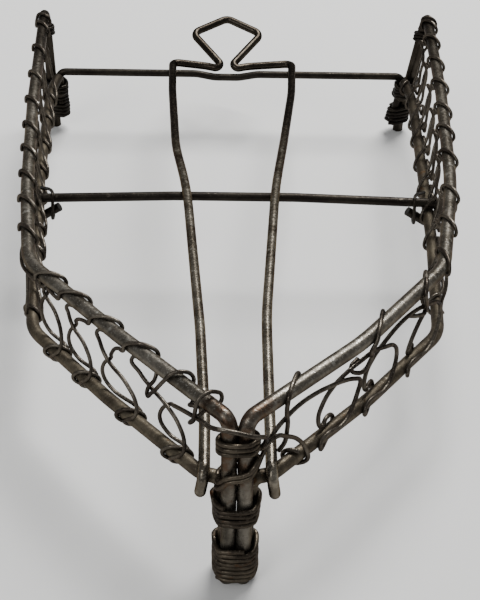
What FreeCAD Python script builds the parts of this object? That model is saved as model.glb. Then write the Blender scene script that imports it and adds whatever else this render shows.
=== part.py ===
import FreeCAD, Part
import math
import os
from FreeCAD import Vector

# Flat-iron stand in laced wire: two bent fence rails, two lower rails, two crossbars, a pair of
# runners that end in a hanging loop, and thin lacing and binding wire that ties them together.
# Frame: +X right, +Y towards the hanging loop, +Z up, origin at the bottom centre of the box.
# A "station" is a distance back from the front leg, and it becomes Y less frame_middle.

doc = FreeCAD.newDocument("FlatIronStand")

# ---------------------------------------------------------------- driving dimensions (mm)
SIZES = [
    ("rail_wire", 3.0), ("lower_wire", 2.8), ("crossbar_wire", 2.15), ("hook_bar_wire", 2.25),
    ("runner_wire", 2.25), ("lacing_wire", 0.8), ("binding_wire", 1.0), ("clearance", 0.12),
    ("lacing_slack", 0.37),
    ("frame_middle", 95.9), ("frame_side_shift", -0.14),
    # fence rail: heights, stations and half widths of its bends
    ("fence_rear_height", 37.1), ("fence_elbow_height", 38.4), ("fence_tip_height", 41.0),
    ("rear_leg_station", 176.0), ("fence_elbow_station", 51.3), ("fence_elbow_half", 43.7),
    ("fence_corner_bend", 3.2), ("fence_elbow_bend", 16.0), ("fence_tip_bend", 2.2),
    ("fence_corner_left", 54.9), ("fence_corner_right", 55.9),
    ("foot_left", 54.2), ("foot_right", 50.8), ("foot_run", 3.0),
    # lower rail
    ("deck_rear_height", 18.7), ("deck_elbow_height", 21.9), ("deck_tip_height", 24.5),
    ("lower_elbow_station", 49.4), ("lower_elbow_half", 44.1), ("lower_rear_station", 172.0),
    ("lower_rear_half", 51.6), ("lower_tail_end", 12.5),
    # crossbars
    ("crossbar_station", 174.6), ("crossbar_dip", 0.9), ("crossbar_strand_end", 3.8),
    ("hook_bar_station", 98.9), ("hook_bar_arch", 1.2), ("hook_tail_reach", 5.2),
    # runners and hanging loop
    ("runner_rear_half", 17.6), ("runner_front_half", 6.4), ("runner_end_left", 22.8),
    ("runner_end_right", 22.4),
    ("loop_axis", -2.1), ("loop_half_width", 10.4), ("loop_length", 21.0), ("loop_rise", 20.0),
    # front leg
    ("front_leg_lean", 1.6), ("back_strand_half", 2.1), ("back_strand_offset", 2.95),
]

sheet = doc.addObject("Spreadsheet::Sheet", "Sizes")
for row, (alias, value) in enumerate(SIZES, start=1):
    sheet.set("A%d" % row, alias)
    sheet.set("B%d" % row, str(value))
    sheet.setAlias("B%d" % row, alias)
doc.recompute()


def size(alias):
    """The value of one named cell."""
    return float(sheet.get(alias))


# ---------------------------------------------------------------- wire paths
def at(x, station, height):
    """A point given by its side offset, station behind the front leg, and height."""
    return Vector(x + size("frame_side_shift"), station - size("frame_middle"), height)


def bent_path(points, bends):
    """Straight runs through the points, joined by tangent arcs of the given bend radii."""
    edges = []
    start = points[0]
    for before, corner, after, bend in zip(points, points[1:], points[2:], bends):
        arriving = (corner - before).normalize()
        leaving = (after - corner).normalize()
        turn = arriving.getAngle(leaving)
        if turn < 1e-4:
            continue
        reach = bend * math.tan(turn / 2)
        arc_start = corner - arriving * reach
        arc_end = corner + leaving * reach
        middle_way = (leaving - arriving).normalize()
        arc_middle = corner + middle_way * (bend / math.cos(turn / 2) - bend)
        if (arc_start - start).Length > 1e-4:
            edges.append(Part.LineSegment(start, arc_start).toShape())
        edges.append(Part.Arc(arc_start, arc_middle, arc_end).toShape())
        start = arc_end
    edges.append(Part.LineSegment(start, points[-1]).toShape())
    return Part.Wire(edges)


SUB_PARTS = []
EXPECTED_VOLUMES = {}


def wire_piece(node, points, bends, gauge):
    """One piece of wire: a round section, bound to its gauge, swept along a bent path."""
    path = doc.addObject("Part::Feature", node + "_path")
    path.Shape = bent_path(points, bends)
    section = doc.addObject("Part::Circle", node + "_section")
    section.setExpression("Radius", "Sizes.%s / 2" % gauge)
    first_run = (points[1] - points[0]).normalize()
    section.Placement = FreeCAD.Placement(points[0], FreeCAD.Rotation(Vector(0, 0, 1), first_run))
    sweep = doc.addObject("Part::Sweep", node)
    sweep.Sections = [section]
    sweep.Spine = (path, [])
    sweep.Solid = True
    sweep.Frenet = False
    sweep.Label = node
    SUB_PARTS.append(sweep)
    EXPECTED_VOLUMES[node] = path.Shape.Length * math.pi * (size(gauge) / 2) ** 2
    return sweep


def between(rail, station):
    """The point of a rail, given as its list of corners, at a station behind the front leg."""
    y = station - size("frame_middle")
    for ahead, behind in zip(rail, rail[1:]):
        low, high = sorted((ahead.y, behind.y))
        if low <= y <= high and high > low:
            return ahead + (behind - ahead) * ((y - ahead.y) / (behind.y - ahead.y))
    raise ValueError("station %.1f is off the rail" % station)


# ---------------------------------------------------------------- fence rails
# Each fence rail is one wire: rear foot, up the leg, along the side, round the elbow to the tip,
# then down as a strand of the front leg. The left and right ones differ a little, as bent by hand.
STRAND_HALF = size("rail_wire") / 2 + 0.02
TIP_STATION = size("front_leg_lean") - 0.4
FOOT_STATION = -0.4


def bowed_middle(ahead, behind, side, bow):
    """The middle of a front run, pushed out of the stand in plan by its bow."""
    run = behind - ahead
    outward = Vector(-run.y, run.x, 0).normalize()
    if outward.x * side < 0:
        outward = outward * -1
    return (ahead + behind) * 0.5 + outward * bow


def fence_rail(side, foot_half, corner_half, corner_station, side_bows, front_bow):
    """The corners of one fence rail from its rear foot to its front foot; side is -1 or +1."""
    rear = size("fence_rear_height")
    elbow = size("fence_elbow_height")
    corners = [at(side * foot_half, size("rear_leg_station"), 0),
               at(side * foot_half, size("rear_leg_station"), size("foot_run")),
               at(side * corner_half, corner_station, rear)]
    for share, (half, station) in zip((0.40, 0.75), side_bows):
        corners.append(at(side * half, station, rear + (elbow - rear) * share))
    bend = at(side * size("fence_elbow_half"), size("fence_elbow_station"), elbow)
    tip = at(side * STRAND_HALF, TIP_STATION, size("fence_tip_height"))
    corners += [bend, bowed_middle(tip, bend, side, front_bow), tip]
    corners.append(at(side * STRAND_HALF, FOOT_STATION, size("foot_run")))
    corners.append(at(side * STRAND_HALF, FOOT_STATION, 0))
    return corners


SIDE_BEND = 180.0
FRONT_BEND = 60.0
FOOT_BEND = 10.0
FENCE_BENDS = [FOOT_BEND, size("fence_corner_bend"), SIDE_BEND, SIDE_BEND, size("fence_elbow_bend"),
               FRONT_BEND, size("fence_tip_bend"), FOOT_BEND]
fence_left = fence_rail(-1, size("foot_left"), size("fence_corner_left"), 176.2,
                        [(51.5, 121.0), (47.7, 80.0)], 0.5)
fence_right = fence_rail(1, size("foot_right"), size("fence_corner_right"), 176.9,
                         [(53.6, 130.0), (49.8, 84.0)], 2.3)
wire_piece("top_rail_left", fence_left, FENCE_BENDS, "rail_wire")
wire_piece("top_rail_right", fence_right, FENCE_BENDS, "rail_wire")


# ---------------------------------------------------------------- lower rails
def lower_rail(side, rear_half, side_bows, front_bow):
    """Corners of one lower rail: short tail on the rear leg, side, elbow, strand to the floor."""
    rear = size("deck_rear_height")
    elbow = size("deck_elbow_height")
    rear_station = size("lower_rear_station")
    corners = [at(side * rear_half, rear_station, size("lower_tail_end")),
               at(side * rear_half, rear_station, rear)]
    for half, station in side_bows:
        share = (rear_station - station) / (rear_station - size("lower_elbow_station"))
        corners.append(at(side * half, station, rear + (elbow - rear) * share))
    strand = size("back_strand_half")
    offset = size("back_strand_offset")
    bend = at(side * size("lower_elbow_half"), size("lower_elbow_station"), elbow)
    join = at(side * 6.6, 4.3, size("deck_tip_height") - 0.2)
    corners += [bend, bowed_middle(join, bend, side, front_bow), join]
    corners.append(at(side * (strand + 0.9), offset + 0.2, size("deck_tip_height")))
    corners.append(at(side * strand, offset + 0.3, 17.5))
    corners.append(at(side * strand, offset + FOOT_STATION, size("foot_run")))
    corners.append(at(side * strand, offset + FOOT_STATION, 0))
    return corners


LOWER_BENDS = [2.6, 60.0, SIDE_BEND, SIDE_BEND, 12.0, FRONT_BEND, 6.0, 1.7, 10.0, FOOT_BEND]
lower_left = lower_rail(-1, size("lower_rear_half"), [(52.9, 161.0), (50.1, 113.0), (47.2, 85.0)],
                        0.8)
lower_right = lower_rail(1, size("lower_rear_half") - 1.2,
                         [(51.5, 160.0), (48.9, 112.0), (47.4, 85.0)], 1.2)
wire_piece("lower_rail_left", lower_left, LOWER_BENDS, "lower_wire")
wire_piece("lower_rail_right", lower_right, LOWER_BENDS, "lower_wire")

# ---------------------------------------------------------------- back crossbar
# A wide staple: its two ends turn down beside the rear legs and are bound to them. Its middle
# dips a little where the neck of the hanging loop lies over it.
crossbar_station = size("crossbar_station")
deck = size("deck_rear_height")
dip = size("crossbar_dip")
axis = size("loop_axis")
strand_end = size("crossbar_strand_end")
leg_gap = (size("rail_wire") + size("crossbar_wire")) / 2 - 0.1


def leg_side(rail, height):
    """Side offset of a rear leg at a height."""
    foot, corner = rail[1], rail[2]
    rise = max(0.0, (height - foot.z) / (corner.z - foot.z))
    return foot.x + (corner.x - foot.x) * rise - size("frame_side_shift")


left_strand_top = leg_side(fence_left, deck) + leg_gap
left_strand_end = leg_side(fence_left, strand_end) + leg_gap
right_strand_top = leg_side(fence_right, deck) - leg_gap
right_strand_end = leg_side(fence_right, strand_end) - leg_gap
back_crossbar = [
    at(left_strand_end, crossbar_station, strand_end),
    at(left_strand_top, crossbar_station, deck),
    at(axis - 9.0, crossbar_station, deck),
    at(axis - 3.6, crossbar_station - 0.3, deck - dip),
    at(axis + 3.6, crossbar_station - 0.3, deck - dip),
    at(axis + 9.0, crossbar_station, deck),
    at(right_strand_top, crossbar_station, deck),
    at(right_strand_end, crossbar_station, strand_end),
]
wire_piece("back_crossbar", back_crossbar, [2.2, 12.0, 12.0, 12.0, 12.0, 2.2], "crossbar_wire")

# ---------------------------------------------------------------- mid crossbar with hooked ends
hook_station = size("hook_bar_station")
hook_offset = (size("lower_wire") + size("hook_bar_wire")) / 2 + 1.6 * size("clearance")


def hook_end(rail, side):
    """Corners of one hooked end: tail under the lower rail, round its outside, over its top."""
    centre = between(rail[1:], hook_station)
    x = centre.x - size("frame_side_shift")
    bar_height = centre.z + hook_offset
    tail_height = bar_height - size("hook_bar_wire") - size("clearance")
    return [at(x - side * size("hook_tail_reach"), hook_station, tail_height),
            at(x - side * 0.4, hook_station, centre.z - hook_offset),
            at(x + side * hook_offset, hook_station, centre.z - hook_offset),
            at(x + side * hook_offset, hook_station, bar_height)]


hook_left = hook_end(lower_left, -1)
hook_right = hook_end(lower_right, 1)
arch_height = (hook_left[3].z + hook_right[3].z) / 2 + size("hook_bar_arch")
arch = [at(-15.0, hook_station, arch_height), at(15.0, hook_station, arch_height)]
mid_crossbar = hook_left + arch + hook_right[::-1]
hook_bend = hook_offset * 0.97
HOOK_BENDS = [1.4, hook_bend, hook_bend, 60.0, 60.0, hook_bend, hook_bend, 1.4]
wire_piece("mid_crossbar", mid_crossbar, HOOK_BENDS, "hook_bar_wire")

# ---------------------------------------------------------------- runners and hanging loop
# One wire: a stub bent down over each lower rail at the front, two runners that pass over both
# crossbars, and behind the back crossbar a turn inwards to the neck and the kite-shaped loop.
runner_wire = size("runner_wire")
over_back = deck + (size("crossbar_wire") + runner_wire) / 2 + size("clearance")
over_mid = arch_height + (size("hook_bar_wire") + runner_wire) / 2 + 0.25
rail_gap = (size("lower_wire") + runner_wire) / 2 + size("clearance")


def runner(rail, side, end_height, rear_half, front_half, mid_spread, bows, rear_bows):
    """Corners of one runner from its front stub to the turn behind the back crossbar."""
    front_station = 4.6
    while abs(between(rail[1:-3], front_station).x) < front_half:
        front_station += 0.1
    crossing = between(rail[1:-3], front_station)
    over_rail = crossing.z + rail_gap + 0.15
    stub_station = front_station - rail_gap - 0.4
    corners = [at(side * (front_half + 0.7), stub_station - 0.4, end_height),
               at(side * front_half, stub_station, over_rail)]
    for half, station in bows:
        share = (station - stub_station) / (hook_station - stub_station)
        corners.append(at(side * half, station, over_rail + (over_mid - over_rail) * share))
    corners.append(at(side * (front_half + mid_spread), hook_station, over_mid))
    for half, share in rear_bows:
        station = hook_station + (crossbar_station - hook_station) * share
        corners.append(at(side * half, station, over_mid + (over_back - over_mid) * share))
    corners.append(at(side * rear_half, crossbar_station + 2.6, over_back))
    return corners


left_runner = runner(lower_left, -1, size("runner_end_left"), size("runner_rear_half") + 0.6,
                     size("runner_front_half") - 0.3, 5.8, [(6.2, 16.0), (7.6, 44.0)],
                     [(15.4, 0.30), (17.6, 0.78)])
right_runner = runner(lower_right, 1, size("runner_end_right"), size("runner_rear_half") - 0.3,
                      size("runner_front_half"), 3.5, [(6.4, 18.0), (6.5, 48.0)],
                      [(12.9, 0.34), (16.3, 0.76)])
neck_station = crossbar_station - 0.2
neck_height = deck - dip + (size("crossbar_wire") + runner_wire) / 2 + 0.12
tilt = math.radians(size("loop_rise"))


def loop_point(x, reach):
    """A point of the tilted hanging loop, at a distance from its neck."""
    return at(axis + x, neck_station + reach * math.cos(tilt),
              neck_height + reach * math.sin(tilt))


shoulder_reach = size("loop_length") * 0.70
half_loop = size("loop_half_width")
neck_side = [at(axis - 6.2, crossbar_station + 1.9, over_back - 0.75),
             at(axis + 6.2, crossbar_station + 1.9, over_back - 0.75)]
loop = [neck_side[0], loop_point(-0.15, 0), loop_point(-half_loop, shoulder_reach),
        loop_point(0, size("loop_length")), loop_point(half_loop, shoulder_reach),
        loop_point(0.15, 0), neck_side[1]]
runner_path = left_runner + loop + right_runner[::-1]
stub_bend = rail_gap * 0.95
neck_bend = runner_wire * 0.56
RUN_BENDS = [stub_bend, SIDE_BEND, SIDE_BEND, SIDE_BEND, 120.0, 120.0, 2.0]
LOOP_BENDS = [8.0, neck_bend, 2.2, 2.8, 2.2, neck_bend, 8.0]
RUNNER_BENDS = RUN_BENDS + LOOP_BENDS + RUN_BENDS[::-1]
runner_sweep = wire_piece("runners_and_hanging_loop", runner_path, RUNNER_BENDS, "runner_wire")

# The front stubs are rounded off.
rounded = [runner_sweep]
for side, stub_end in (("left", runner_path[0]), ("right", runner_path[-1])):
    knob = doc.addObject("Part::Sphere", "stub_end_" + side)
    knob.setExpression("Radius", "Sizes.runner_wire / 2")
    knob.Placement = FreeCAD.Placement(stub_end, FreeCAD.Rotation())
    rounded.append(knob)
runners = doc.addObject("Part::MultiFuse", "runners_with_rounded_stubs")
runners.Shapes = rounded
runner_sweep.Label = "runners_unrounded"
runners.Label = "runners_and_hanging_loop"
SUB_PARTS[SUB_PARTS.index(runner_sweep)] = runners

# ---------------------------------------------------------------- lacing
# The lacing wire goes over the fence rail, down the outside, under the lower rail and up the
# inside. Each turn over the top is slanted, so the strands on its two sides cross below it.
lacing_radius = size("lacing_wire") / 2
over_fence = size("rail_wire") / 2 + lacing_radius + size("lacing_slack")
under_lower = size("lower_wire") / 2 + lacing_radius + size("lacing_slack")


def rail_frame(rail, station):
    """Centre of a rail at a station, with the level direction that points out of the stand."""
    centre = between(rail, station)
    step = between(rail, station + 0.5) - between(rail, station - 0.5)
    outward = Vector(-step.y, step.x, 0).normalize()
    if outward.x * centre.x < 0:
        outward = outward * -1
    return centre, outward


def laced_panel(node, fence, lower, first, last, turns, slant, lead):
    """Lacing of one flat panel between two stations, with a number of turns over the fence."""
    pitch = (first - last) / turns
    points = []
    for turn in range(turns):
        top = first - pitch * (turn + 0.5)
        for inside, station in ((-1, top - slant), (1, top + slant)):
            centre, outward = rail_frame(fence, station)
            points.append(centre + outward * (inside * over_fence) + Vector(0, 0, over_fence))
        bottom = top - lead
        for inside, station in ((1, bottom + 0.6), (-1, bottom - 0.6)):
            centre, outward = rail_frame(lower, station)
            points.append(centre + outward * (inside * under_lower) - Vector(0, 0, under_lower))
    start, outward = rail_frame(fence, first - pitch * 0.5 + lead * 0.4)
    low_start = start - outward * over_fence - Vector(0, 0, 6.0)
    end_run = (points[-1] + Vector(0, 0, 5.0))
    points = [low_start] + points + [end_run]
    bends = [over_fence * 0.8, over_fence * 0.8, under_lower * 0.8, under_lower * 0.8] * turns
    return wire_piece(node, points, bends, "lacing_wire")


fence_runs = {"left": fence_left[2:-2], "right": fence_right[2:-2]}
lower_runs = {"left": lower_left[1:-3], "right": lower_right[1:-3]}
for side in ("left", "right"):
    laced_panel("lacing_side_" + side, fence_runs[side], lower_runs[side], 170.0, 60.0, 9, 1.6, 7.5)
    laced_panel("lacing_front_" + side, fence_runs[side], lower_runs[side], 47.0, 12.0, 4, 1.1, 3.0)

# The strand that carries the lacing from the left front panel to the right one, across the leg.
crossing = [at(-12.5, 8.0, 33.5), at(-9.5, 3.4, 38.2), at(-3.5, -0.9, 40.0),
            at(2.0, -1.5, 39.8), at(9.0, 4.4, 38.0), at(12.5, 7.4, 33.0)]
wire_piece("front_crossing_strand", crossing, [3.0, 5.0, 5.0, 3.0], "lacing_wire")


# ---------------------------------------------------------------- bindings
def binding(node, low, lean, halves, turns, strand=None, gauge="binding_wire", loose=0.0):
    """Close turns of binding wire round a bundle; low is the bundle's middle at the first turn.

    halves are the bundle's half width and half depth, and strand is the radius of the strands at
    its corners, which the turns bend round.
    """
    reach_x = halves[0] + size(gauge) / 2 + size("clearance")
    reach_y = halves[1] + size(gauge) / 2 + size("clearance")
    pitch = size(gauge) + 0.08 + loose
    bend = min(reach_x, reach_y) * 0.97
    if strand:
        bend = strand + size(gauge) / 2
    corners = ((-1, -1), (1, -1), (1, 1), (-1, 1))
    points = []
    for quarter in range(4 * turns + 1):
        x, y = corners[quarter % 4]
        rise = pitch * quarter / 4
        points.append(low + lean * rise + Vector(x * reach_x, y * reach_y, rise))
    middle_start = (points[0] + points[1]) * 0.5
    points = [middle_start] + points[1:]
    return wire_piece(node, points, [bend] * (len(points) - 2), gauge)


front_lean = Vector(0, (TIP_STATION - FOOT_STATION) / size("fence_tip_height"), 0)
pair_half = 2 * STRAND_HALF
rail_radius = size("rail_wire") / 2
lower_radius = size("lower_wire") / 2
back_edge = size("back_strand_offset") + lower_radius
bundle_half_depth = (rail_radius + back_edge) / 2
bundle_middle = (back_edge - rail_radius) / 2
bundle_half = size("back_strand_half") + lower_radius
for node, height, turns, spread in (("front_leg_binding_lower", 0.9, 7, 0.0),
                                    ("front_leg_binding_middle", 15.9, 4, 0.3)):
    low = at(0, bundle_middle + FOOT_STATION, height) + front_lean * height
    halves = (bundle_half + spread, bundle_half_depth + spread / 2)
    binding(node, low, front_lean, halves, turns, strand=lower_radius)
upper_height = 34.2
low = at(0, FOOT_STATION, upper_height) + front_lean * upper_height
binding("front_leg_binding_upper", low, front_lean, (pair_half, rail_radius), 4)

# One loose turn where the lower rails join the front leg.
band_height = 21.3
low = at(0, bundle_middle + FOOT_STATION, band_height) + front_lean * band_height
binding("front_leg_band", low, front_lean, (bundle_half + 1.5, bundle_half_depth + 0.6), 1,
        strand=lower_radius, gauge="lacing_wire", loose=0.4)

# Rear legs: the upper binding also holds the tail of the lower rail.
crossbar_radius = size("crossbar_wire") / 2
REAR_BINDINGS = {"left": [("upper", 13.4, 3), ("middle", 9.6, 2), ("lower", 4.0, 4)],
                 "right": [("upper", 11.4, 4), ("lower", 3.7, 4)]}
TIE_HEIGHT = 29.6
for side, rail, lower in (("left", fence_left, lower_left), ("right", fence_right, lower_right)):
    inward = 1 if side == "left" else -1
    leg_step = rail[2] - rail[1]
    leg_lean = Vector(leg_step.x / leg_step.z, leg_step.y / leg_step.z, 0)
    for place, height, turns in REAR_BINDINGS[side]:
        leg = rail[1] + leg_step * ((height - rail[1].z) / leg_step.z)
        outer = leg.x - inward * rail_radius
        inner = leg.x + inward * (leg_gap + crossbar_radius)
        front = at(0, crossbar_station, 0).y - crossbar_radius
        if place == "upper":
            front = lower[0].y - lower_radius
            inner = inward * max(inward * inner, inward * lower[0].x + lower_radius)
        back = leg.y + rail_radius
        low = Vector((outer + inner) / 2, (front + back) / 2, height)
        binding("rear_%s_binding_%s" % (side, place), low, leg_lean,
                (abs(inner - outer) / 2, (back - front) / 2), turns, strand=crossbar_radius)
    leg = rail[1] + leg_step * ((TIE_HEIGHT - rail[1].z) / leg_step.z)
    binding("rear_%s_top_tie" % side, leg, leg_lean, (rail_radius, rail_radius), 3,
            gauge="lacing_wire")

# Ties that hold the hooked tails of the mid crossbar up against the bar.
for side, hook, inward in (("left", hook_left, 1), ("right", hook_right, -1)):
    tie_x = hook[0].x + inward * -0.9 - size("frame_side_shift")
    tail_z = hook[0].z - 1.2
    bar_z = hook[3].z + 0.3
    middle_z = (bar_z + tail_z) / 2
    half_tall = (bar_z - tail_z) / 2 + size("hook_bar_wire") / 2
    reach_z = half_tall + lacing_radius + size("clearance")
    reach_y = size("hook_bar_wire") / 2 + lacing_radius + size("clearance")
    pitch = size("lacing_wire") + 0.08
    points = []
    for quarter in range(9):
        y, z = ((-1, -1), (-1, 1), (1, 1), (1, -1))[quarter % 4]
        points.append(at(tie_x - inward * pitch * (quarter / 4 - 1), hook_station + y * reach_y,
                         middle_z + z * reach_z))
    points[0] = (points[0] + points[1]) * 0.5
    bend = min(reach_y, reach_z) * 0.97
    wire_piece("mid_crossbar_tie_" + side, points, [bend] * (len(points) - 2), "lacing_wire")

# ---------------------------------------------------------------- checks and export
doc.recompute()
os.makedirs("parts", exist_ok=True)
for thing in doc.Objects:
    if "Invalid" in thing.State or "Error" in thing.State:
        raise RuntimeError("%s did not compute: %s" % (thing.Label, thing.State))
for piece in SUB_PARTS:
    shape = piece.Shape
    if shape.isNull() or not shape.isValid() or not shape.Solids:
        raise RuntimeError("%s has no valid solid" % piece.Label)
    ratio = shape.Volume / EXPECTED_VOLUMES[piece.Label]
    if abs(ratio - 1) > 0.02:
        raise RuntimeError("%s: volume is %.3f of length times section" % (piece.Label, ratio))
    shape.exportStep("parts/%s.step" % piece.Label)
box = Part.makeCompound([piece.Shape for piece in SUB_PARTS]).BoundBox
print("pieces:", len(SUB_PARTS))
print("box x %.2f..%.2f y %.2f..%.2f z %.2f..%.2f"
      % (box.XMin, box.XMax, box.YMin, box.YMax, box.ZMin, box.ZMax))
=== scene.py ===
import math
import random
import bpy
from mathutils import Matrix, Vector


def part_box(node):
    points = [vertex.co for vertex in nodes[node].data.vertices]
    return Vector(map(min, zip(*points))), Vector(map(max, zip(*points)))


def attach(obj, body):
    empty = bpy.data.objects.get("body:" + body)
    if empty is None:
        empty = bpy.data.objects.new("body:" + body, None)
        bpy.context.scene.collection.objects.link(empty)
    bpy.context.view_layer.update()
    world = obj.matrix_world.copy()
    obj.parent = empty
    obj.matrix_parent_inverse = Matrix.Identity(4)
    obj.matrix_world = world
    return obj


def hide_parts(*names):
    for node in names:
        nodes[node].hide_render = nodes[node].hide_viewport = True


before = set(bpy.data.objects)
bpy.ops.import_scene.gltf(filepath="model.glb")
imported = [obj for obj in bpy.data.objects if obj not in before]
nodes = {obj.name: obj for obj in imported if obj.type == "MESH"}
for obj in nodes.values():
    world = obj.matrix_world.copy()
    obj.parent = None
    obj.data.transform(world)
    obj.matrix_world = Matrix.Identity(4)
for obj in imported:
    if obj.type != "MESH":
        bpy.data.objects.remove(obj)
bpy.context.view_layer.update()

# Laced-wire flat iron stand. The thick wires come from the frame; the lacing, the bindings and the
# ties are bent here round those wires, and every wire gets its aged steel finish.

MM = 0.001
FRONT_LEG_BACK = 95.9       # mm from the frame's middle forward to the front leg
FRONT_LEG_ASIDE = -0.14     # mm from the frame's middle to the front leg, sideways
REAR_LEG_STATION = 176.0
HOOK_BAR_STATION = 98.9

LACING_GAUGE = 0.82
ARCH_GAUGE = 0.92
BINDING_GAUGE = 1.0
RAIL_RADIUS = 1.5
LOWER_RADIUS = 1.4
CROSSBAR_RADIUS = 1.075

hand = random.Random(11)


# ---------------------------------------------------------------- reading the thick wires
# All places below are in mm, and a station is a distance back from the front leg.
edge_lists = {}


def wire_middle(node, axis, level, near, reach):
    """Middle of a CAD wire where a level plane across one axis cuts it, within reach of near."""
    if node not in edge_lists:
        mesh = nodes[node].data
        corners = [v.co / MM for v in mesh.vertices]
        edge_lists[node] = [(corners[e.vertices[0]], corners[e.vertices[1]]) for e in mesh.edges]
    cuts = []
    for start, end in edge_lists[node]:
        low, high = start[axis] - level, end[axis] - level
        if low * high < 0:
            cut = start.lerp(end, low / (low - high))
            if (cut - near).length < reach:
                cuts.append(cut)
    if not cuts:
        return None
    lowest = Vector([min(c[i] for c in cuts) for i in range(3)])
    highest = Vector([max(c[i] for c in cuts) for i in range(3)])
    return (lowest + highest) / 2


class Rail:
    """A fence or lower rail, read from the frame at stations behind the front leg."""

    FIRST, LAST, STEP = 4.0, 173.0, 1.0
    USUAL_SIDE, SIDE_REACH = 30.0, 32.0

    def __init__(self, node, side, radius, height):
        self.side, self.radius = side, radius
        self.middles = []
        for i in range(int((self.LAST - self.FIRST) / self.STEP) + 1):
            level = self.FIRST + i * self.STEP - FRONT_LEG_BACK
            near = Vector((side * self.USUAL_SIDE, level, height))
            self.middles.append(wire_middle(node, 1, level, near, self.SIDE_REACH))

    def middle(self, station):
        place = (station - self.FIRST) / self.STEP
        i = max(0, min(len(self.middles) - 2, int(math.floor(place))))
        return self.middles[i].lerp(self.middles[i + 1], place - i)

    def outward(self, station):
        reach = 2.5
        step = self.middle(station + reach) - self.middle(station - reach)
        level = Vector((step.y, -step.x, 0)).normalized()
        return level if level.x * self.side > 0 else -level

    def around(self, station, angle, gap):
        """A point round the rail: angle 0 outside, 90 on top, 180 inside, 270 beneath."""
        turn = math.radians(angle)
        reach = self.radius + gap
        out = self.outward(station) * math.cos(turn) * reach
        return self.middle(station) + out + Vector((0, 0, math.sin(turn) * reach))


WRAP_STEP = 45      # degrees between the points of a turn round a rail


class Fence:
    """One side's fence: its top rail, its lower rail and the laced panel between them."""

    def __init__(self, side, name):
        self.side = side
        self.top = Rail("top_rail_" + name, side, RAIL_RADIUS, height=38.0)
        self.low = Rail("lower_rail_" + name, side, LOWER_RADIUS, height=21.0)

    def at(self, station, height, out=0.0):
        """A point of the panel: height 0 at the lower rail, 1 at the top rail, out from it."""
        low, top = self.low.middle(station), self.top.middle(station)
        return low.lerp(top, height) + self.top.outward(station) * out

    def wrap(self, rail, start, end, lean, first_angle, last_angle, slack):
        """Points of a slanted turn round a rail; its middle drifts from start to end."""
        gap = LACING_GAUGE / 2 + slack
        count = max(2, round(abs(last_angle - first_angle) / WRAP_STEP))
        points = []
        for i in range(count + 1):
            share = i / count
            angle = first_angle + (last_angle - first_angle) * share
            station = start + (end - start) * share + lean * math.cos(math.radians(angle))
            loose = slack * hand.uniform(0, 1.2)
            points.append(rail.around(station, angle, gap + loose))
        return points


left = Fence(-1, "left")
right = Fence(1, "right")


# ---------------------------------------------------------------- bending wire
CAP_EDGE = math.radians(50)
ROUNDNESS = 4


def bend_wire(name, route, gauge, smoothness=7):
    """A length of round wire bent through the points of its route, which are in mm."""
    bpy.ops.object.select_all(action="DESELECT")
    bpy.ops.curve.primitive_bezier_curve_add(location=(0, 0, 0))
    wire = bpy.context.object
    wire.name = name
    curve = wire.data
    spline = curve.splines[0]
    spline.bezier_points.add(len(route) - 2)
    for point, place in zip(spline.bezier_points, route):
        point.co = place * MM
        point.handle_left_type = point.handle_right_type = "AUTO"
    curve.resolution_u = smoothness
    curve.bevel_depth = gauge / 2 * MM
    curve.bevel_resolution = ROUNDNESS
    curve.use_fill_caps = True
    bpy.ops.object.convert(target="MESH")
    bpy.ops.object.shade_smooth_by_angle(angle=CAP_EDGE)
    return bpy.context.object


def make_piece(name, wires, finish, slot, *replaced):
    """Joins wires into one piece that stands for CAD nodes and takes a finish."""
    bpy.ops.object.select_all(action="DESELECT")
    for wire in wires:
        wire.select_set(True)
    bpy.context.view_layer.objects.active = wires[0]
    if len(wires) > 1:
        bpy.ops.object.join()
    piece = bpy.context.object
    piece.name = piece.data.name = name
    piece.data.materials.clear()
    piece.data.materials.append(finish)
    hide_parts(*replaced)
    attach(piece, "root")
    return piece


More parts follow.
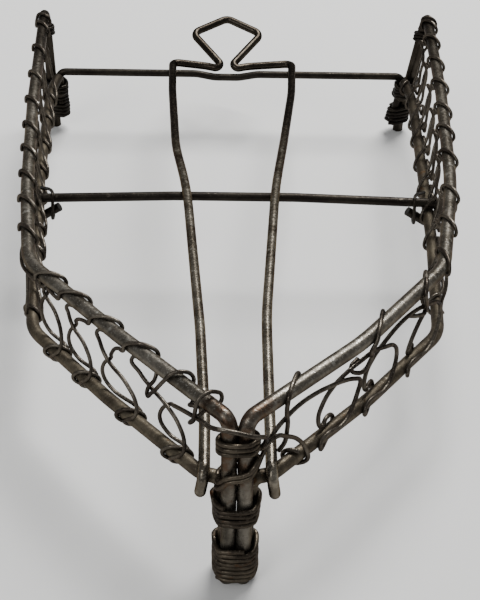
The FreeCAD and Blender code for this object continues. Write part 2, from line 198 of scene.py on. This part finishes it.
# ---------------------------------------------------------------- finishes
class Finish:
    """Builds one procedural wire finish out of noise layers in object coordinates."""

    def __init__(self, name):
        self.material = bpy.data.materials.new(name)
        self.material.use_nodes = True
        self.tree = self.material.node_tree
        self.tree.nodes.clear()
        self.place = self.tree.nodes.new("ShaderNodeTexCoord").outputs["Object"]

    def node(self, kind, **settings):
        made = self.tree.nodes.new(kind)
        for key, value in settings.items():
            setattr(made, key, value)
        return made

    def join(self, source, target):
        self.tree.links.new(source, target)

    def grain(self, size_mm, detail, shift, roughness=0.55):
        """Noise whose features are about size_mm across."""
        spread = self.node("ShaderNodeMapping")
        spread.inputs["Location"].default_value = (shift, shift * 0.7, shift * 1.3)
        self.join(self.place, spread.inputs["Vector"])
        noise = self.node("ShaderNodeTexNoise")
        noise.inputs["Scale"].default_value = 1.0 / (size_mm * MM)
        noise.inputs["Detail"].default_value = detail
        noise.inputs["Roughness"].default_value = roughness
        self.join(spread.outputs["Vector"], noise.inputs["Vector"])
        return noise.outputs["Fac"]

    def between(self, value, low, high, to_low=0.0, to_high=1.0):
        """Spreads a value between two limits, clamped."""
        spread = self.node("ShaderNodeMapRange", interpolation_type="SMOOTHSTEP")
        self.join(value, spread.inputs["Value"])
        for socket, number in zip(("From Min", "From Max", "To Min", "To Max"),
                                  (low, high, to_low, to_high)):
            spread.inputs[socket].default_value = number
        return spread.outputs["Result"]

    def combine(self, operation, first, second):
        """Two masks added, subtracted, multiplied or compared, clamped to 0..1."""
        calc = self.node("ShaderNodeMath", operation=operation, use_clamp=True)
        for socket, value in zip(calc.inputs, (first, second)):
            if isinstance(value, float):
                socket.default_value = value
            else:
                self.join(value, socket)
        return calc.outputs[0]

    def paint(self, under, over, mask):
        """Colour over on colour under where the mask says."""
        mix = self.node("ShaderNodeMix", data_type="RGBA")
        self.join(mask, mix.inputs["Factor"])
        for socket, colour in ((mix.inputs[6], under), (mix.inputs[7], over)):
            if isinstance(colour, tuple):
                socket.default_value = (*colour, 1.0)
            else:
                self.join(colour, socket)
        return mix.outputs[2]


SOOT = (0.022, 0.018, 0.014)
SOOT_FADE = 0.035
TIP_RUST = (0.062, 0.036, 0.022)
TIP_DEPTH = (-0.0890, -0.0925)      # metres over which the tip's brown sets in, back to front
TIP_HEIGHT = (0.021, 0.030)
# Painted shade: a dark tint on the steel's reflections at grazing angles, which darkens the wires'
# edges as a dark room round them would.
PAINTED_DARK_EDGE_REFLECTION = (0.30, 0.26, 0.21, 1)
LUMPS_OVER_PITS = 1.6


def aged_wire(name, shade, patina, worn, rust, rust_cover, wear_cover, metallic, dull, seed,
              sooty_from=None, rusty_tip=False):
    """Old bare steel wire: patches of patina, rust blooms, worn bright specks and pits.

    Behind sooty_from, in metres, it is blackened; a rusty tip is browned at the top of the leg.
    The covers say how much of the wire is rusty or worn, and dull is its middle roughness.
    """
    f = Finish(name)
    patches = f.between(f.grain(5.5, 5.0, shift=seed), 0.36, 0.64)
    colour = f.paint(shade, patina, patches)
    mottle = f.between(f.grain(0.8, 5.0, shift=seed + 0.3), 0.40, 0.80, 0.0, 0.55)
    colour = f.paint(colour, tuple(c * 0.45 for c in shade), mottle)
    blooms = f.between(f.grain(3.4, 6.0, shift=seed + 0.9, roughness=0.65),
                       0.74 - rust_cover * 0.42, 0.86 - rust_cover * 0.42)
    colour = f.paint(colour, rust, blooms)
    # Wear shows on what faces up, broken up into streaks and specks.
    facing = f.node("ShaderNodeSeparateXYZ")
    f.join(f.node("ShaderNodeNewGeometry").outputs["Normal"], facing.inputs[0])
    top = f.between(facing.outputs["Z"], 0.15, 0.95)
    streaks = f.between(f.grain(1.9, 5.0, shift=seed + 1.7), 0.66 - wear_cover * 0.3,
                        0.80 - wear_cover * 0.3)
    specks = f.between(f.grain(0.35, 2.0, shift=seed + 2.2), 0.62 - wear_cover * 0.1,
                       0.70 - wear_cover * 0.1)
    marks = f.combine("MAXIMUM", streaks, f.combine("MULTIPLY", specks, 0.8))
    wear = f.combine("MULTIPLY", top, marks)
    wear = f.combine("MULTIPLY", wear, min(1.0, 0.35 + wear_cover))
    spot = f.node("ShaderNodeSeparateXYZ")
    f.join(f.place, spot.inputs[0])
    if sooty_from is not None:
        soot = f.between(spot.outputs["Y"], sooty_from - SOOT_FADE, sooty_from + SOOT_FADE)
        patchy = f.between(f.grain(7.0, 5.0, shift=seed + 6.1), 0.30, 0.60, 0.80, 1.0)
        clean = f.combine("SUBTRACT", 1.0, f.combine("MULTIPLY", soot, 0.93))
        wear = f.combine("MULTIPLY", wear, clean)
        soot = f.combine("MULTIPLY", soot, patchy)
        colour = f.paint(colour, SOOT, soot)
    if rusty_tip:
        near_tip = f.between(spot.outputs["Y"], *TIP_DEPTH)
        raised = f.between(spot.outputs["Z"], *TIP_HEIGHT)
        patchy = f.between(f.grain(2.0, 5.0, shift=seed + 7.3), 0.38, 0.62, 0.10, 0.85)
        browned = f.combine("MULTIPLY", f.combine("MULTIPLY", near_tip, raised), patchy)
        colour = f.paint(colour, TIP_RUST, browned)
        clean = f.combine("SUBTRACT", 1.0, f.combine("MULTIPLY", browned, 0.6))
        wear = f.combine("MULTIPLY", wear, clean)
    colour = f.paint(colour, worn, wear)

    steel = f.node("ShaderNodeBsdfPrincipled")
    f.join(colour, steel.inputs["Base Color"])
    steel.inputs["Metallic"].default_value = metallic
    # Painted shade: the dark edge tint darkens the reflections along the wires' edges.
    steel.inputs["Specular Tint"].default_value = PAINTED_DARK_EDGE_REFLECTION
    rough = f.between(f.grain(0.7, 4.0, shift=seed + 3.1), 0.3, 0.7, dull - 0.08, dull + 0.12)
    rusty = f.combine("MULTIPLY", blooms, 0.25)
    shiny = f.combine("MULTIPLY", wear, 0.22)
    rough = f.combine("SUBTRACT", f.combine("ADD", rough, rusty), shiny)
    f.join(rough, steel.inputs["Roughness"])

    pits = f.grain(0.28, 3.0, shift=seed + 4.0)
    lumps = f.grain(1.6, 5.0, shift=seed + 5.0)
    relief = f.node("ShaderNodeMath", operation="MULTIPLY_ADD")
    f.join(lumps, relief.inputs[0])
    relief.inputs[1].default_value = LUMPS_OVER_PITS
    f.join(pits, relief.inputs[2])
    bump = f.node("ShaderNodeBump")
    bump.inputs["Strength"].default_value = 0.27
    bump.inputs["Distance"].default_value = 0.10 * MM
    f.join(relief.outputs[0], bump.inputs["Height"])
    f.join(bump.outputs["Normal"], steel.inputs["Normal"])
    out = f.node("ShaderNodeOutputMaterial")
    f.join(steel.outputs[0], out.inputs["Surface"])
    return f.material


rail_steel = aged_wire(
    "aged_rail_steel", shade=(0.070, 0.062, 0.050), patina=(0.140, 0.127, 0.106),
    worn=(0.44, 0.42, 0.37), rust=(0.080, 0.050, 0.030), rust_cover=0.26, wear_cover=0.30,
    metallic=0.86, dull=0.33, seed=0.10, sooty_from=0.045, rusty_tip=True)
lower_steel = aged_wire(
    "brown_lower_rail", shade=(0.052, 0.043, 0.031), patina=(0.104, 0.088, 0.063),
    worn=(0.26, 0.23, 0.18), rust=(0.078, 0.045, 0.022), rust_cover=0.38, wear_cover=0.16,
    metallic=0.72, dull=0.44, seed=0.35, sooty_from=0.058)
dark_iron = aged_wire(
    "blackened_crossbar", shade=(0.010, 0.008, 0.007), patina=(0.022, 0.019, 0.015),
    worn=(0.17, 0.15, 0.12), rust=(0.040, 0.024, 0.014), rust_cover=0.22, wear_cover=0.08,
    metallic=0.60, dull=0.40, seed=0.60)
runner_steel = aged_wire(
    "worn_runner_steel", shade=(0.080, 0.068, 0.052), patina=(0.185, 0.165, 0.132),
    worn=(0.58, 0.54, 0.46), rust=(0.070, 0.042, 0.022), rust_cover=0.22, wear_cover=0.24,
    metallic=0.90, dull=0.25, seed=0.85, sooty_from=0.020)
lacing_steel = aged_wire(
    "dull_lacing_wire", shade=(0.038, 0.031, 0.025), patina=(0.095, 0.083, 0.067),
    worn=(0.34, 0.31, 0.26), rust=(0.066, 0.036, 0.019), rust_cover=0.25, wear_cover=0.26,
    metallic=0.80, dull=0.33, seed=1.10, sooty_from=0.075)
binding_steel = aged_wire(
    "brown_binding_wire", shade=(0.036, 0.029, 0.022), patina=(0.088, 0.073, 0.054),
    worn=(0.28, 0.24, 0.19), rust=(0.080, 0.041, 0.020), rust_cover=0.42, wear_cover=0.22,
    metallic=0.78, dull=0.37, seed=1.35)

for node, finish in (("top_rail_left", rail_steel), ("top_rail_right", rail_steel),
                     ("lower_rail_left", lower_steel), ("lower_rail_right", lower_steel),
                     ("back_crossbar", dark_iron), ("mid_crossbar", dark_iron),
                     ("runners_and_hanging_loop", runner_steel)):
    nodes[node].data.materials.clear()
    nodes[node].data.materials.append(finish)


# ---------------------------------------------------------------- lacing, left side
# Coming back from the front leg, the wire passes inside at a crossing, drops to the lower rail,
# goes once and a third round it, and rises to pass outside at the same crossing, which closes an
# oval. Then it goes under and over the top rail in a slanted turn and leaves it by a small knuckle.
# One entry for each oval, front to rear: the station and height of its crossing, the station of
# its foot, and the station of the turn behind it. Heights are shares of the panel's height.
LEFT_OVALS = [(13.3, 0.57, 7.9, 20.6), (27.4, 0.57, 18.8, 29.3), (37.2, 0.63, 30.6, 37.7),
              (45.7, 0.76, 39.4, 44.6), (62.6, 0.74, 53.5, 61.7), (74.0, 0.74, 66.5, 73.3),
              (84.6, 0.72, 77.5, 84.0), (96.4, 0.72, 87.5, 95.8), (107.4, 0.74, 102.4, 107.0),
              (120.6, 0.72, 114.6, 120.0), (134.5, 0.74, 128.0, 134.0),
              (149.5, 0.72, 142.4, 149.4), (163.0, 0.72, 155.2, 164.5)]
ELBOW_STATION = 51.3
FRONT_LEAN, SIDE_LEAN = 2.3, 2.7


def oval(fence, cross, height, foot):
    """Down the rear strand of an oval, round the lower rail, and up its front strand."""
    belly = 1.3
    drop = [fence.at(cross, height, -0.45),
            fence.at(cross + belly, height * 0.74, -0.25),
            fence.at(cross + belly, height * 0.46, -0.35),
            fence.at(cross - belly * 0.2, height * 0.22, -0.9)]
    low_turn = foot + 1.7
    below = fence.wrap(fence.low, low_turn + 0.6, low_turn - 0.3, 1.6, 185, 660, 0.01)
    width = cross - foot
    rise = [fence.at(foot - 0.1, 0.18, 1.1),
            fence.at(foot + width * 0.03, height * 0.48, 0.8),
            fence.at(foot + width * 0.38, height * 0.80, 0.6),
            fence.at(cross + 0.1, height + 0.02, 0.48)]
    return drop + below + rise


def left_route():
    """The whole lacing wire of the left side, from the front leg to the rear corner."""
    route = [left.at(11.9, 0.64, 0.2)]
    for i, (cross, height, foot, turn) in enumerate(LEFT_OVALS):
        lean = FRONT_LEAN if turn < ELBOW_STATION else SIDE_LEAN
        route += oval(left, cross, height, foot)
        under_rail = turn + lean * 0.5
        run = under_rail - cross
        if run > 5:
            route.append(left.at(cross + run * 0.45, height + 0.10, 0.5))
        route.append(left.at(cross + run * 0.75, height + (0.88 - height) * 0.6, 0.6))
        route += left.wrap(left.top, turn, turn + 0.2, lean, 300, -15, 0.04)
        if i + 1 < len(LEFT_OVALS):
            following, low_by = LEFT_OVALS[i + 1][:2]
            knuckle = turn + lean + 1.1
            rest = following - knuckle
            route.append(left.at(knuckle, 0.955, 1.8))
            if rest > 6:
                route.append(left.at(knuckle + rest * 0.5, 0.88, 1.3 + hand.uniform(-0.2, 0.3)))
            route.append(left.at(following - min(0.8, rest * 0.3), low_by + 0.13, 0.5))
    route += left.wrap(left.top, 169.0, 173.3, 2.2, 0, 330, 0.05)
    return route


def left_tip_hook():
    """The second wire near the tip: two turns over the top rail that hook the strands below."""
    return ([left.at(17.2, 0.90, -0.6), left.at(16.6, 0.80, 0.4), left.at(16.9, 0.70, 1.3),
             left.at(16.6, 0.62, 1.7), left.at(15.4, 0.72, 2.2)]
            + left.wrap(left.top, 12.2, 11.6, 1.0, 10, 235, 0.2)
            + left.wrap(left.top, 9.6, 7.0, 0.8, 250, 330, 0.2)
            + left.wrap(left.top, 6.0, 5.4, 0.5, 210, 0, 0.45)
            + [left.at(6.2, 0.80, 2.3), left.at(7.2, 0.70, 1.7), left.at(7.2, 0.72, 0.2),
               left.at(6.2, 0.86, -0.6)])


lacing_left = [bend_wire("lacing_left", left_route(), LACING_GAUGE),
               bend_wire("left_tip_hook", left_tip_hook(), LACING_GAUGE)]
make_piece("hand_laced_left", lacing_left, lacing_steel, "lacing_wire",
           "lacing_side_left", "lacing_front_left")

# ---------------------------------------------------------------- lacing, right side
# On this side the upper wire hangs in long narrow loops from its turns over the top rail, and a
# second wire laces their feet to the lower rail. Stations of the turns, rear to front.
RIGHT_TURNS = [169.3, 159.5, 146.0, 133.0, 119.7, 108.7, 96.3, 80.2, 67.4]
RIGHT_LEAN = -2.4
HOOK_FEET = [159.5, 147.0, 137.0, 124.2, 111.2, 98.8, 87.0, 72.0]


def hanging_loops():
    """The upper wire: turns over the top rail with a long narrow loop hanging from each."""
    route = right.wrap(right.top, 172.4, 171.4, -1.2, -60, 150, 0.1)
    for turn, following in zip(RIGHT_TURNS, RIGHT_TURNS[1:]):
        route += right.wrap(right.top, turn, turn - 0.2, RIGHT_LEAN, 230, -35, 0.04)
        reach = min(9.5, turn - following - 1.0)
        route += [right.at(turn - 1.6, 0.80, 1.9), right.at(turn - 3.2, 0.66, 0.4),
                  right.at(turn - reach * 0.75, 0.36, -0.1), right.at(turn - reach, 0.19, -0.3),
                  right.at(turn - reach - 0.6, 0.24, 0.3), right.at(turn - reach + 0.3, 0.46, 0.1),
                  right.at(turn - reach + 0.2, 0.70, -0.5),
                  right.at(following + 3.3, 0.84, -1.5), right.at(following + 3.2, 0.93, -2.5)]
    last = RIGHT_TURNS[-1]
    route += right.wrap(right.top, last, last - 0.6, RIGHT_LEAN, 200, -60, 0.04)
    route += [right.at(62.0, 0.74, 0.4)]
    route += right.wrap(right.top, 53.8, 53.5, -3.3, 200, -50, 0.05)
    route += [right.at(50.5, 0.74, 1.4), right.at(50.5, 0.45, 0.6), right.at(50.5, 0.18, 0.9)]
    return route


def lower_hooks():
    """The second wire: it winds the lower rail and hooks the foot of each hanging loop."""
    route = right.wrap(right.low, 168.0, 167.0, 1.6, 90, 360, 0.1)
    for foot in HOOK_FEET:
        route += [right.at(foot + 3.5, 0.02, 1.9), right.at(foot + 0.9, 0.14, 1.4),
                  right.at(foot, 0.27, 0.4), right.at(foot - 0.8, 0.16, -1.0)]
        route += right.wrap(right.low, foot - 1.0, foot - 2.4, 1.6, 170, 400, 0.04)
    route += right.wrap(right.low, 62.0, 58.0, 1.0, 60, 330, 0.1)
    return route


# ---------------------------------------------------------------- lacing, right front
# Three long arches: each strand rises back from the lower rail, crosses the one before it, and
# turns over in an arch down to the lower rail again.
BOW_SHIFT = 1.6     # mm that the bow of the rails carries the lacing forward


def swell(station):
    """How far the right front rails bow out at a station, from 0 to 1."""
    return math.sin(math.pi * min(station, ELBOW_STATION) / ELBOW_STATION) ** 1.3


def arch_at(station, height, out=0.0):
    """A point of the right front panel, shifted with the bow of its rails."""
    bow = swell(station)
    lift = 0.12 * min(1.0, height / 0.35) + 0.04 * height
    return right.at(station - bow * (BOW_SHIFT + 1.5 * height), height + bow * lift, out)


def low_turn(centre):
    """Down over the outside of the lower rail, under it, and up inside to a bump on its top."""
    shifted = centre - BOW_SHIFT * swell(centre)
    return right.wrap(right.low, shifted, shifted, -3.2, 35, -212, 0.05)


def front_arches():
    """The wire of the three arches, from the front leg to the elbow."""
    route = [arch_at(3.6, 0.42, -0.6), arch_at(6.7, 0.51, -0.3), arch_at(9.6, 0.60, 0),
             arch_at(12.6, 0.64, 0.2), arch_at(16.0, 0.63, 0.4), arch_at(19.4, 0.575, 0.45),
             arch_at(22.0, 0.52, 0.5), arch_at(25.0, 0.41, 0.5), arch_at(26.0, 0.34, 0.5),
             arch_at(25.2, 0.23, 0.6), arch_at(23.2, 0.11, 1.0), arch_at(20.6, 0.05, 1.6)]
    route += low_turn(17.9)
    route += [arch_at(18.6, 0.13, -0.6), arch_at(16.9, 0.10, -0.2), arch_at(16.6, 0.20, -0.4),
              arch_at(17.9, 0.32, -0.5), arch_at(20.5, 0.45, -0.5), arch_at(24.2, 0.55, -0.2),
              arch_at(27.5, 0.59, 0.1), arch_at(29.8, 0.60, 0.3), arch_at(33.0, 0.53, 0.5),
              arch_at(35.6, 0.43, 0.5), arch_at(36.2, 0.30, 0.5), arch_at(34.6, 0.14, 0.9),
              arch_at(31.6, 0.05, 1.5)]
    route += low_turn(28.6)
    route += [arch_at(30.0, 0.13, -0.9), arch_at(28.0, 0.12, -0.4), arch_at(28.5, 0.28, -0.6),
              arch_at(30.6, 0.43, -0.5), arch_at(34.0, 0.56, -0.2), arch_at(38.0, 0.66, 0),
              arch_at(42.0, 0.69, 0.2), arch_at(46.0, 0.64, 0.4), arch_at(49.4, 0.52, 0.5),
              arch_at(49.9, 0.38, 0.6), arch_at(47.6, 0.20, 1.1), arch_at(44.2, 0.06, 1.6)]
    route += low_turn(40.6)
    route += [arch_at(42.2, 0.13, -0.9), arch_at(40.4, 0.10, -0.4), arch_at(41.4, 0.25, -0.2),
              arch_at(43.3, 0.46, 0.2), arch_at(44.3, 0.64, 0.9), arch_at(43.5, 0.82, 1.8)]
    route += right.wrap(right.top, 44.6, 44.8, -2.7, 0, 235, 0.04)
    route += [arch_at(45.6, 0.72, -0.9), arch_at(44.2, 0.62, 0.9), arch_at(42.0, 0.64, 0.9),
              arch_at(40.4, 0.68, 0.1)]
    return route


def arch_hooks():
    """Turns over the top rail that hook the arches: one at the second arch, one at the tip."""
    rear = (right.wrap(right.top, 30.0, 29.8, -3.4, 235, 0, 0.04)
            + [arch_at(28.0, 0.74, 1.7), arch_at(28.7, 0.60, 1.0), arch_at(28.2, 0.52, 0.8),
               arch_at(27.3, 0.44, 0.5), arch_at(25.8, 0.45, 0.2), arch_at(25.0, 0.53, -0.5),
               arch_at(27.0, 0.59, -0.8)])
    tip = (right.wrap(right.top, 10.2, 10.0, -2.6, 235, 0, 0.04)
           + [arch_at(8.4, 0.78, 1.6), arch_at(8.9, 0.60, 0.9), arch_at(8.8, 0.46, 0.5),
              arch_at(8.2, 0.29, 0.1), arch_at(7.4, 0.17, -0.9)])
    return rear, tip


lacing_right = [bend_wire("hanging_loops", hanging_loops(), LACING_GAUGE),
                bend_wire("lower_hooks", lower_hooks(), LACING_GAUGE),
                bend_wire("front_arches", front_arches(), ARCH_GAUGE)]
for hook in arch_hooks():
    lacing_right.append(bend_wire("arch_hook", hook, ARCH_GAUGE))
make_piece("hand_laced_right", lacing_right, lacing_steel, "lacing_wire",
           "lacing_side_right", "lacing_front_right")


# ---------------------------------------------------------------- strand across the front leg
def across_the_leg():
    """From the left panel over the front of the leg, down to the right lower rail."""
    leg = Vector((FRONT_LEG_ASIDE, -FRONT_LEG_BACK, 0))
    return ([left.at(11.9, 0.64, 0.2), left.at(9.6, 0.72, 0.9)]
            + [leg + Vector((-6.6, 2.6, 39.2)), leg + Vector((-4.6, -0.6, 40.6)),
               leg + Vector((-2.2, -1.9, 41.2)), leg + Vector((0.4, -2.1, 40.7)),
               leg + Vector((2.8, -1.9, 39.8)), leg + Vector((4.9, -0.2, 38.0))]
            + [arch_at(4.2, 0.66, 0.9), arch_at(5.9, 0.54, 1.2), arch_at(7.9, 0.43, 1.0),
               arch_at(10.6, 0.24, 1.1), arch_at(11.6, 0.07, 1.5)]
            + right.wrap(right.low, 9.6, 8.9, 1.0, -20, -300, 0.06))


crossing = bend_wire("strand", across_the_leg(), ARCH_GAUGE)
make_piece("strand_across_front_leg", [crossing], lacing_steel, "lacing_wire",
           "front_crossing_strand")


# ---------------------------------------------------------------- bindings
strand_places = {}
COIL_STEPS = 16         # points in one turn
COIL_SMOOTHNESS = 3
BUNDLE_REACH = 9
LOWEST_CUT = 0.6
OFF_THE_CORNERS = 0.013


def strands_at(bundle, height, near):
    """Middles and radii of the strands of a leg where they pass a height."""
    level = round(height, 0) + OFF_THE_CORNERS
    found = []
    for node, radius in bundle:
        key = (node, level, near.x > 0, near.y > 0)
        if key not in strand_places:
            beside = Vector((near.x, near.y, level))
            strand_places[key] = wire_middle(node, 2, level, beside, BUNDLE_REACH)
        if strand_places[key] is not None:
            found.append((strand_places[key], radius))
    return found


def coil(bundle, near, gauge, low, turns, pitch, start, loose, tilt, layer=0.0, slope=0.0):
    """Turns of binding wire pulled round a bundle of strands, with a hand's unevenness.

    They sink by tilt towards the back and climb by slope towards the right.
    """
    points = []
    for i in range(int(turns * COIL_STEPS) + 1):
        angle = start + 2 * math.pi * i / COIL_STEPS
        toward = Vector((math.cos(angle), math.sin(angle), 0))
        height = low + pitch * i / COIL_STEPS
        strands = strands_at(bundle, max(LOWEST_CUT, height), near)
        middle, radius = max(strands, key=lambda s: s[0].dot(toward) + s[1])
        gap = radius + gauge / 2 + layer + loose * hand.uniform(0.2, 1.8)
        point = middle + toward * gap
        point.z = (height - tilt * toward.y + slope * toward.x
                   + 0.10 * pitch * hand.uniform(-1, 1))
        points.append(point)
    return points


FRONT_NEAR = Vector((FRONT_LEG_ASIDE, -FRONT_LEG_BACK + 1.0, 0))
FRONT_STRANDS = [("top_rail_left", RAIL_RADIUS), ("top_rail_right", RAIL_RADIUS),
                 ("lower_rail_left", LOWER_RADIUS), ("lower_rail_right", LOWER_RADIUS)]
FRONT_PAIR = FRONT_STRANDS[:2]



def wind(name, replaced, slot, finish, gauge, bundle, near, **how):
    """Winds a coil round a bundle, as the piece that stands for a CAD binding or tie."""
    wound = bend_wire("coil", coil(bundle, near, gauge, **how), gauge, COIL_SMOOTHNESS)
    make_piece(name, [wound], finish, slot, replaced)


wind("wound_front_upper", "front_leg_binding_upper", "binding_wire", binding_steel, BINDING_GAUGE,
     FRONT_PAIR, FRONT_NEAR, low=33.6, turns=3.3, pitch=1.12, start=0.8, loose=0.10, tilt=0.25)
wind("wound_front_middle", "front_leg_binding_middle", "binding_wire", binding_steel, BINDING_GAUGE,
     FRONT_STRANDS, FRONT_NEAR, low=16.0, turns=4.4, pitch=1.08, start=2.0, loose=0.12, tilt=0.45)
wind("wound_front_lower", "front_leg_binding_lower", "binding_wire", binding_steel, BINDING_GAUGE,
     FRONT_STRANDS, FRONT_NEAR, low=1.6, turns=7.2, pitch=1.10, start=3.6, loose=0.12, tilt=0.30)
wind("loose_front_band", "front_leg_band", "lacing_wire", binding_steel, BINDING_GAUGE,
     FRONT_PAIR, FRONT_NEAR, low=27.3, turns=2.1, pitch=1.25, start=2.6, loose=0.15, tilt=0.3,
     slope=2.7)


def hook_tie(fence):
    """A thin wire from the lower rail, slanting over the mid crossbar and once round its hook."""
    bar = fence.low.middle(HOOK_BAR_STATION) + Vector((0, 0, 2.75))

    def by_bar(inward, back, up):
        return bar + Vector((-fence.side * inward, back, up))

    return [fence.low.around(105.6, 110, 0.42), by_bar(3.4, 1.1, 1.35), by_bar(3.8, -0.9, 1.4),
            by_bar(3.8, -1.6, 0.2), by_bar(3.6, -1.6, -2.6), by_bar(3.4, -1.1, -5.2),
            by_bar(3.4, 0.8, -5.4), by_bar(3.2, 1.6, -3.8)]


# Rear bindings of each side: place, lowest height, turns, and how far they lie off the strands.
REAR_COILS = {
    "left": [("upper", 12.9, 3.2, 0.0), ("middle", 9.2, 3.2, 0.15), ("lower", 4.3, 4.4, 0.3)],
    "right": [("upper", 12.9, 4.3, 0.0), ("lower", 3.6, 4.8, 0.15)],
}
foot_low, foot_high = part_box("back_crossbar")
for side_name, fence in (("left", left), ("right", right)):
    near_x = (foot_low.x if fence.side < 0 else foot_high.x) / MM
    near = Vector((near_x, REAR_LEG_STATION - FRONT_LEG_BACK, 0))
    leg = [("top_rail_" + side_name, RAIL_RADIUS)]
    for place, low, turns, layer in REAR_COILS[side_name]:
        bundle = leg + [("back_crossbar", CROSSBAR_RADIUS)]
        if place == "upper":
            bundle.append(("lower_rail_" + side_name, LOWER_RADIUS))
        name = "rear_%s_binding_%s" % (side_name, place)
        wind("wound_" + name, name, "binding_wire", dark_iron, BINDING_GAUGE, bundle, near,
             low=low, turns=turns, pitch=1.08, start=hand.uniform(0, 6), loose=0.15, tilt=0.2,
             layer=layer)
    tie_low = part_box("rear_%s_top_tie" % side_name)[0].z / MM
    wind("wound_rear_%s_tie" % side_name, "rear_%s_top_tie" % side_name, "lacing_wire", dark_iron,
         LACING_GAUGE, leg, near, low=tie_low + 0.4, turns=3.2, pitch=0.95, start=1.0, loose=0.12,
         tilt=0.3)
    tie = bend_wire("tie", hook_tie(fence), LACING_GAUGE)
    make_piece("bent_crossbar_tie_" + side_name, [tie], dark_iron, "lacing_wire",
               "mid_crossbar_tie_" + side_name)

# ---------------------------------------------------------------- floor, light and camera
bpy.ops.object.select_all(action="DESELECT")
bpy.ops.mesh.primitive_plane_add(size=4.0, location=(0, 0, 0))
floor = bpy.context.object
floor.name = "floor"
paper = bpy.data.materials.new("pale_floor")
paper.use_nodes = True
matt = paper.node_tree.nodes["Principled BSDF"]
matt.inputs["Base Color"].default_value = (0.67, 0.665, 0.65, 1)
matt.inputs["Roughness"].default_value = 0.95
floor.data.materials.append(paper)


def soft_light(name, place, size, power):
    """A square lamp that shines on the stand from a place in metres."""
    bpy.ops.object.light_add(type="AREA", location=place)
    light = bpy.context.object
    light.name = name
    light.data.shape = "RECTANGLE"
    light.data.size = light.data.size_y = size
    light.data.energy = power
    light.rotation_euler = (-Vector(place)).to_track_quat("-Z", "Y").to_euler()


soft_light("window_light", place=(0.22, 0.45, 0.85), size=0.5, power=17.0)
soft_light("front_fill", place=(-0.55, -0.65, 0.7), size=0.5, power=3.5)
world = bpy.data.worlds.new("room")
bpy.context.scene.world = world
world.use_nodes = True
air = world.node_tree.nodes["Background"]
air.inputs["Color"].default_value = (0.80, 0.82, 0.85, 1)
air.inputs["Strength"].default_value = 0.42

# The camera stands in front of the tip and looks down along the stand.
EYE = Vector((-4.0, -257.4, 193.6)) * MM
LOOK_DOWN, LOOK_ASIDE, ROLL = 0.658, -0.022, 0.025
ahead = Vector((-math.sin(LOOK_ASIDE) * math.cos(LOOK_DOWN),
                math.cos(LOOK_ASIDE) * math.cos(LOOK_DOWN), -math.sin(LOOK_DOWN)))
bpy.ops.object.camera_add(location=EYE)
camera = bpy.context.object
camera.rotation_euler = ahead.to_track_quat("-Z", "Y").to_euler()
camera.rotation_euler.rotate_axis("Z", ROLL)
camera.data.sensor_fit = "VERTICAL"
camera.data.sensor_height = 36.0
camera.data.lens = 75.17
camera.data.clip_start = 0.01
bpy.context.scene.camera = camera
